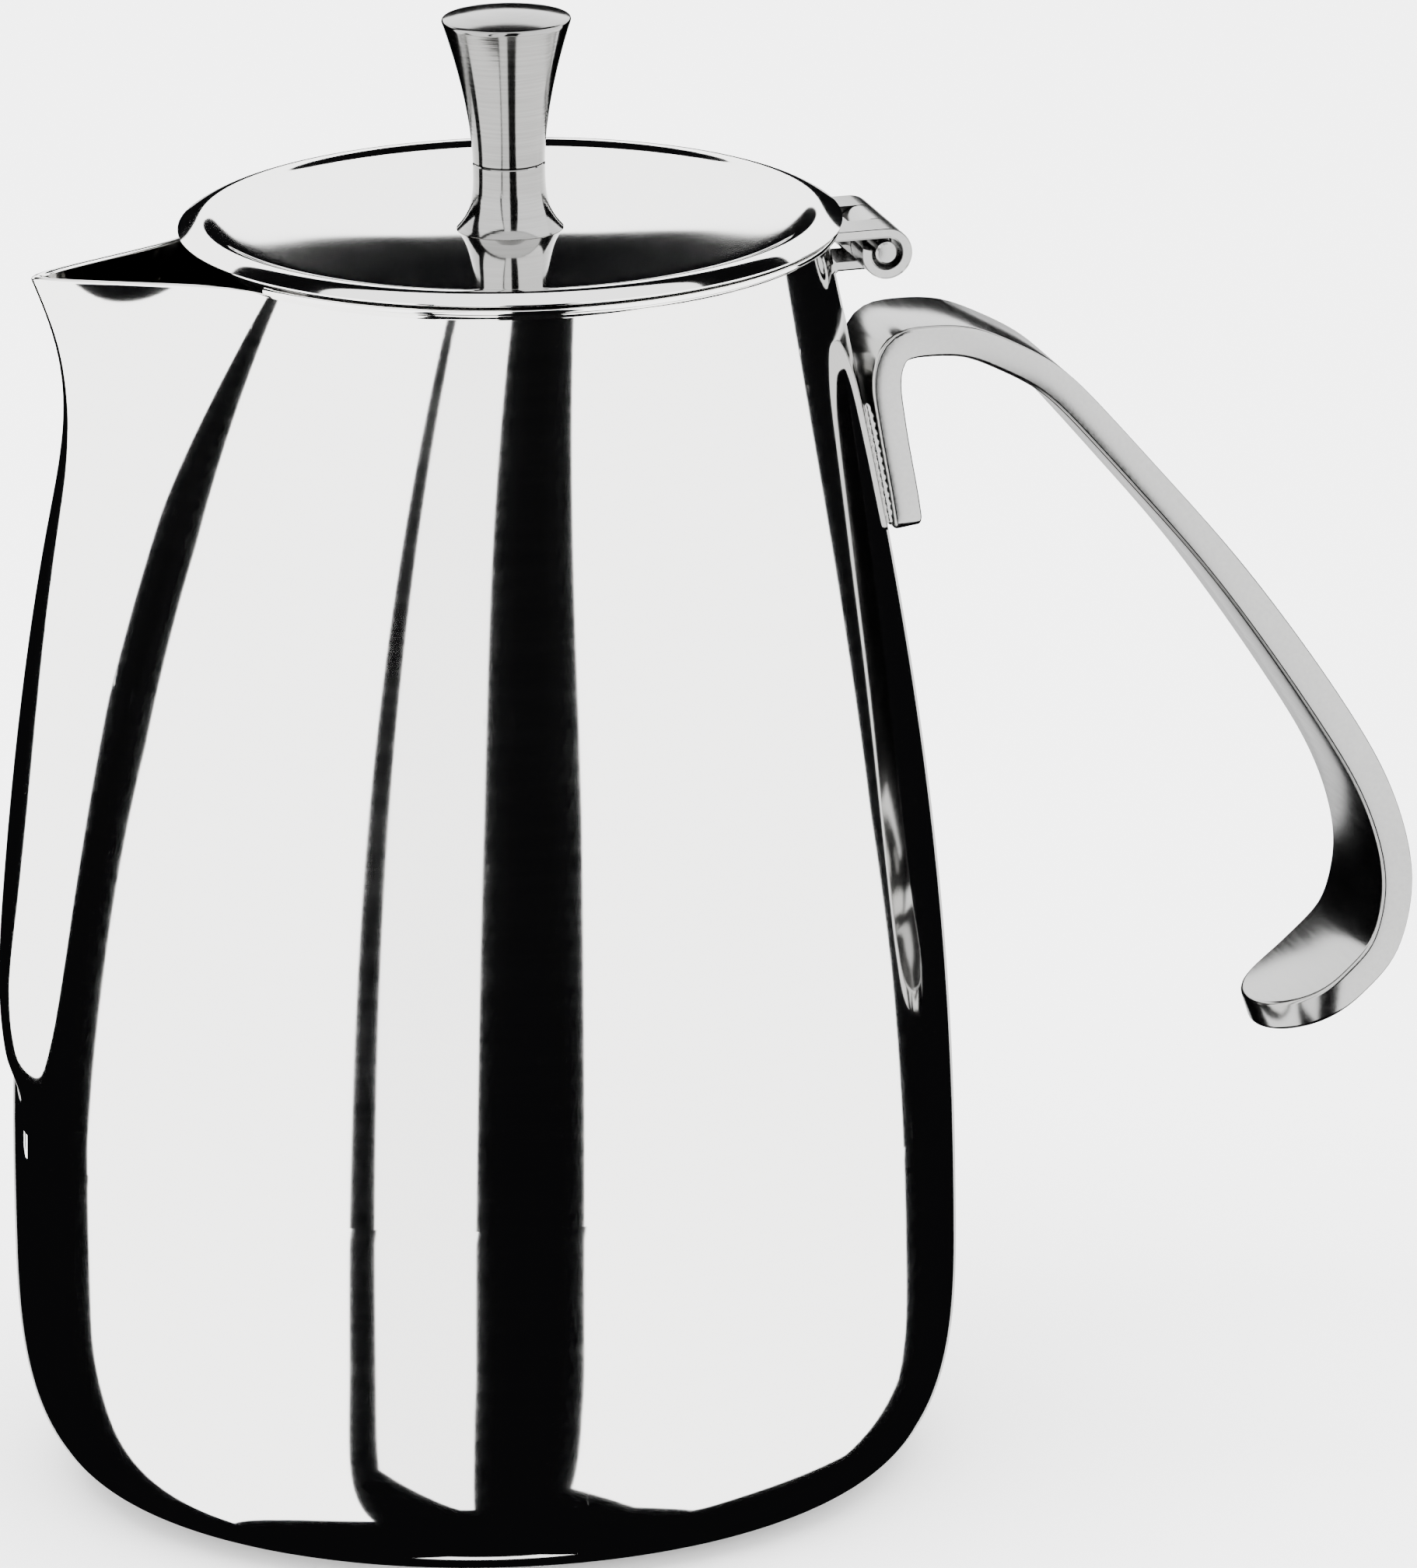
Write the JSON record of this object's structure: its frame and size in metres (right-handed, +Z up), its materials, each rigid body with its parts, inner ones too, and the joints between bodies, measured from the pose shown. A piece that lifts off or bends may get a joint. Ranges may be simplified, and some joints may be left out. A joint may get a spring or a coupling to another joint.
{
  "type": "coffee pot",
  "caption": "Polished steel coffee pot with a beak spout, a bent flat strip handle and a hinged dished lid with a turned knob.",
  "frame": {"origin": "centre of the flat base, on the surface the pot stands on", "axes": "+Z up along the pot, +X towards the handle and the lid's hinge, -X towards the spout, +Y across the pot along the hinge pin"},
  "size_m": [0.1889, 0.1238, 0.1954],
  "materials": {
    "polished_steel": "mirror polished stainless steel with faint handling marks",
    "satin_steel": "satin stainless steel, softly grained along the strip",
    "turned_steel": "lathe-turned stainless steel with fine circumferential lines"
  },
  "bodies": {
    "pot": {"body_shell": "polished_steel", "spout": "polished_steel", "handle": "satin_steel", "body_hinge_bracket": "satin_steel", "hinge_pin": "satin_steel"},
    "lid": {"lid_shell": "polished_steel", "lid_locating_ring": "satin_steel", "lid_hinge_leaf": "satin_steel", "knob_collar": "turned_steel", "knob": "turned_steel", "knob_washer": "turned_steel", "knob_screw": "turned_steel"}
  },
  "joints": [
    {"name": "lid_hinge", "type": "hinge", "parent": "pot", "child": "lid", "pos_m": [0.054, 0, 0.16115], "axis": [0, 1, 0], "range_deg": [0, 100]}
  ]
}
